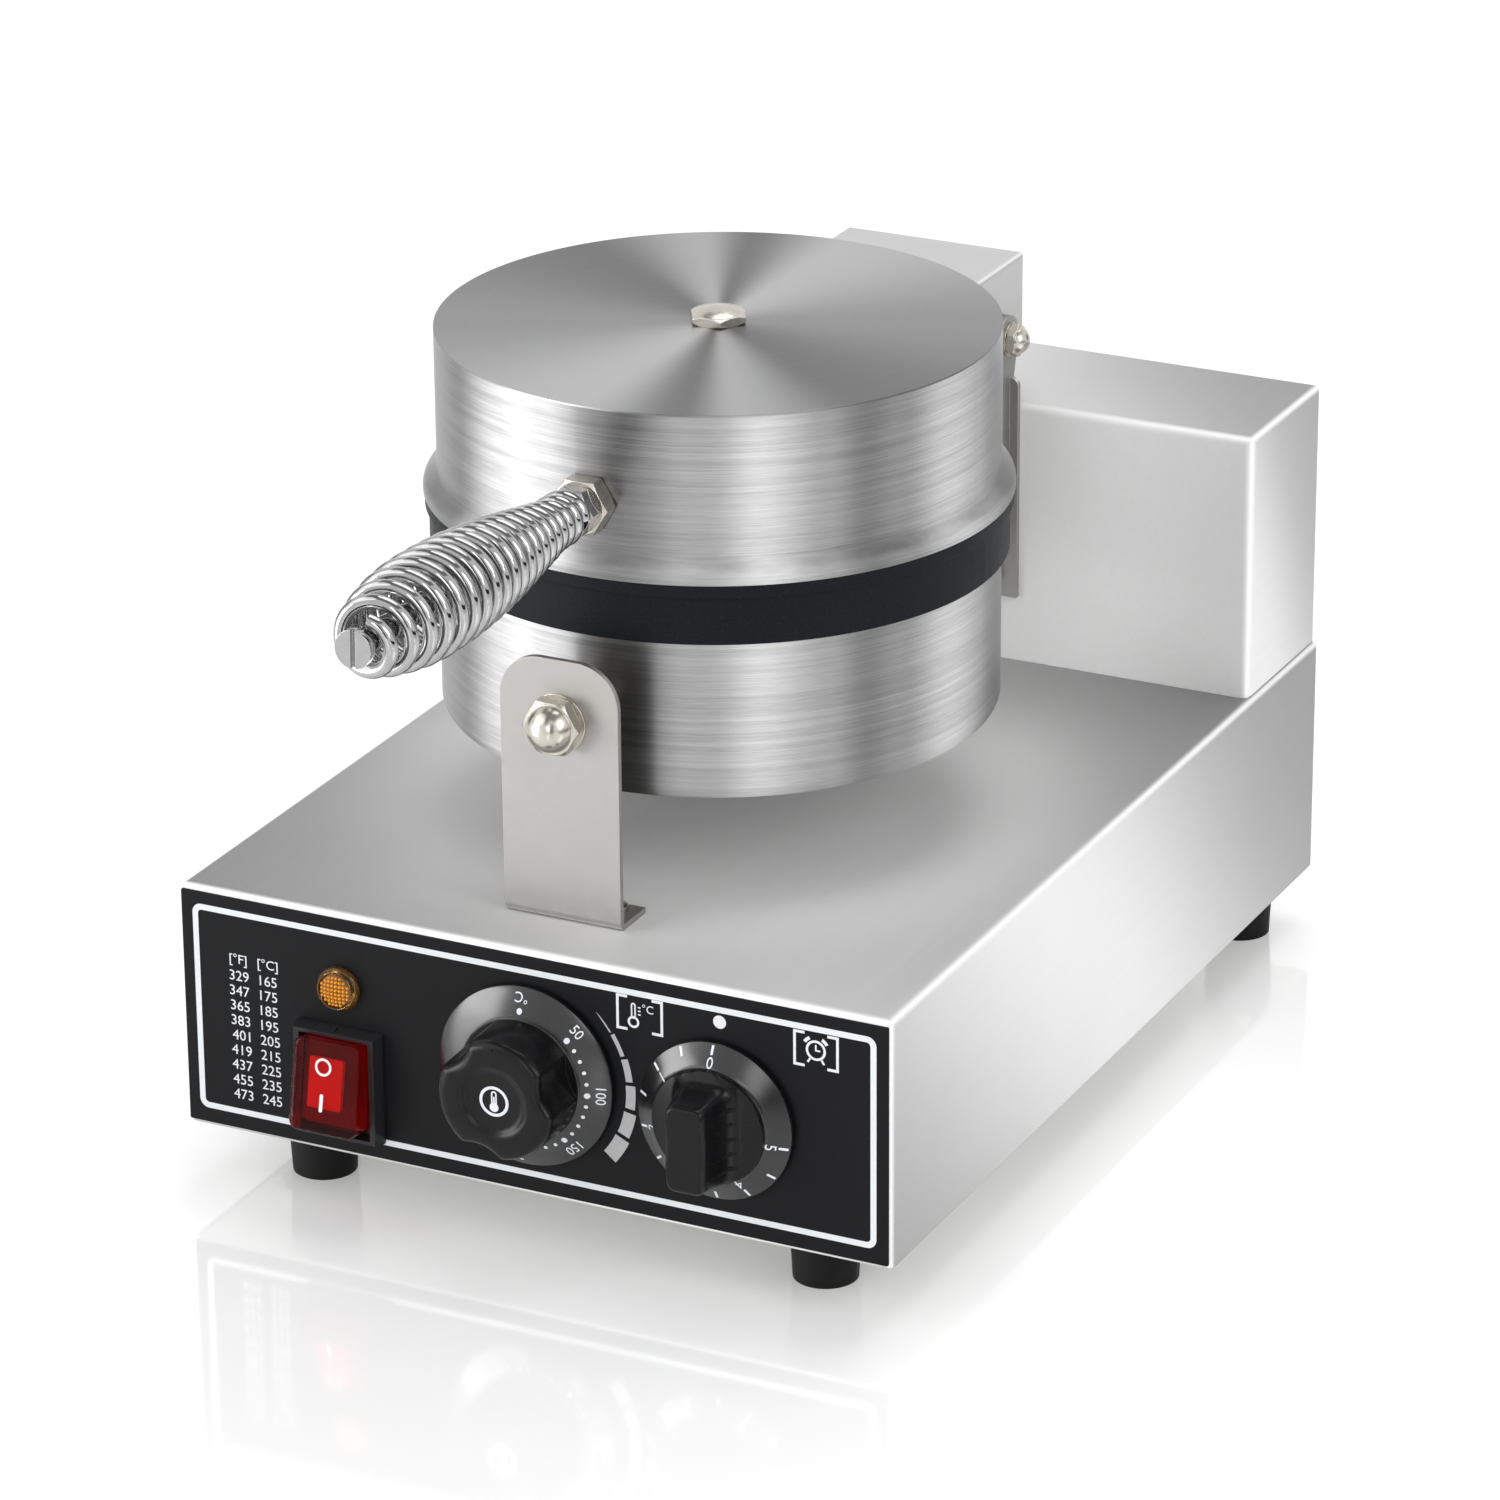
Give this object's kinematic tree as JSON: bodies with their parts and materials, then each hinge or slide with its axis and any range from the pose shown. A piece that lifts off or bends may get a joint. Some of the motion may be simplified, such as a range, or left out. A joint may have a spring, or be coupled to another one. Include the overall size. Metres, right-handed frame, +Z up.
{
  "type": "waffle cone maker",
  "caption": "Counter-top waffle cone maker: steel base with dials, rocker and lamp, fixed lower baking plate, hinged upper plate with coil handle, rear wiring housing.",
  "frame": {"origin": "on the counter under the middle of the whole object, at the feet's lower faces", "axes": "+Z up, +X to the user's right, +Y from the control panel to the rear housing; the handle points to -Y"},
  "size_m": [0.25, 0.4702, 0.273],
  "materials": {
    "stainless": "brushed stainless steel with bright folded edges",
    "satin_steel": "satin steel sheet",
    "nickel": "warm nickel plating",
    "chrome": "bright chrome plating",
    "nonstick": "dark blue-black seasoned casting",
    "heater": "dull oxidised tube",
    "rubber": "black rubber",
    "panel_print": "near-black printed film with white marks",
    "black_plastic": "black moulded plastic with a soft sheen",
    "amber_lens": "amber ribbed lens",
    "red_rocker": "translucent red with white marks",
    "brass": "plain brass",
    "plated_case": "zinc-plated case",
    "ceramic": "off-white ceramic and mineral wool"
  },
  "bodies": {
    "base": {"base_shell": "stainless", "base_front": "stainless", "base_back": "stainless", "base_bottom": "satin_steel", "bottom_screws": "nickel", "rubber_feet": "rubber", "foot_screws": "nickel", "control_panel": "panel_print", "lamp_lens": "amber_lens", "lamp_body": "black_plastic", "switch_frame": "black_plastic", "switch_terminals": "brass", "thermostat_body": "plated_case", "timer_body": "plated_case", "terminal_block": "ceramic", "cable_gland": "black_plastic", "gland_nut": "black_plastic", "rear_housing": "stainless", "housing_screws": "nickel", "rear_cover": "satin_steel", "rear_cover_screws": "nickel", "front_bracket": "satin_steel", "front_bracket_screws": "nickel", "front_stud": "nickel", "front_washer": "nickel", "front_acorn_nut": "nickel", "front_spacer": "nickel", "front_inner_nut": "nickel", "hinge_bracket": "satin_steel", "hinge_bracket_screws": "nickel", "rear_arm": "satin_steel", "rear_arm_bolts": "nickel", "lead_grommet": "rubber", "lower_shell": "stainless", "lower_plate": "nonstick", "lower_element": "heater", "lower_insulation": "ceramic", "lower_stud": "nickel", "sensor_bulb": "brass", "hinge_pin": "nickel", "hinge_washers": "nickel", "hinge_cap_nuts": "nickel"},
    "lid": {"upper_shell": "stainless", "upper_plate": "nonstick", "upper_element": "heater", "upper_insulation": "ceramic", "lid_stud": "nickel", "lid_nut": "nickel", "handle_nut": "nickel", "handle_ferrule": "chrome", "handle_rod": "chrome", "handle_spring": "chrome", "handle_inner_nut": "nickel", "hinge_cover": "satin_steel", "hinge_arm": "satin_steel", "hinge_arm_screws": "nickel"},
    "rocker": {"power_rocker": "red_rocker"},
    "thermostat_dial": {"thermostat_knob": "black_plastic", "thermostat_shaft": "chrome"},
    "timer_dial": {"timer_knob": "black_plastic", "timer_shaft": "chrome"}
  },
  "joints": [
    {"name": "lid_hinge", "type": "hinge", "parent": "base", "child": "lid", "pos_m": [0, 0.15105, 0.2212], "axis": [-1, 0, 0], "range_deg": [0, 95]},
    {"name": "power_rocker_tilt", "type": "hinge", "parent": "base", "child": "rocker", "pos_m": [-0.067, -0.13355, 0.0468], "axis": [1, 0, 0], "range_deg": [0, 22]},
    {"name": "thermostat_turn", "type": "hinge", "parent": "base", "child": "thermostat_dial", "pos_m": [0, -0.14495, 0.0627], "axis": [0, 1, 0], "range_deg": [0, 300]},
    {"name": "timer_turn", "type": "hinge", "parent": "base", "child": "timer_dial", "pos_m": [0.066, -0.14495, 0.0607], "axis": [0, 1, 0], "range_deg": [0, 260]}
  ]
}
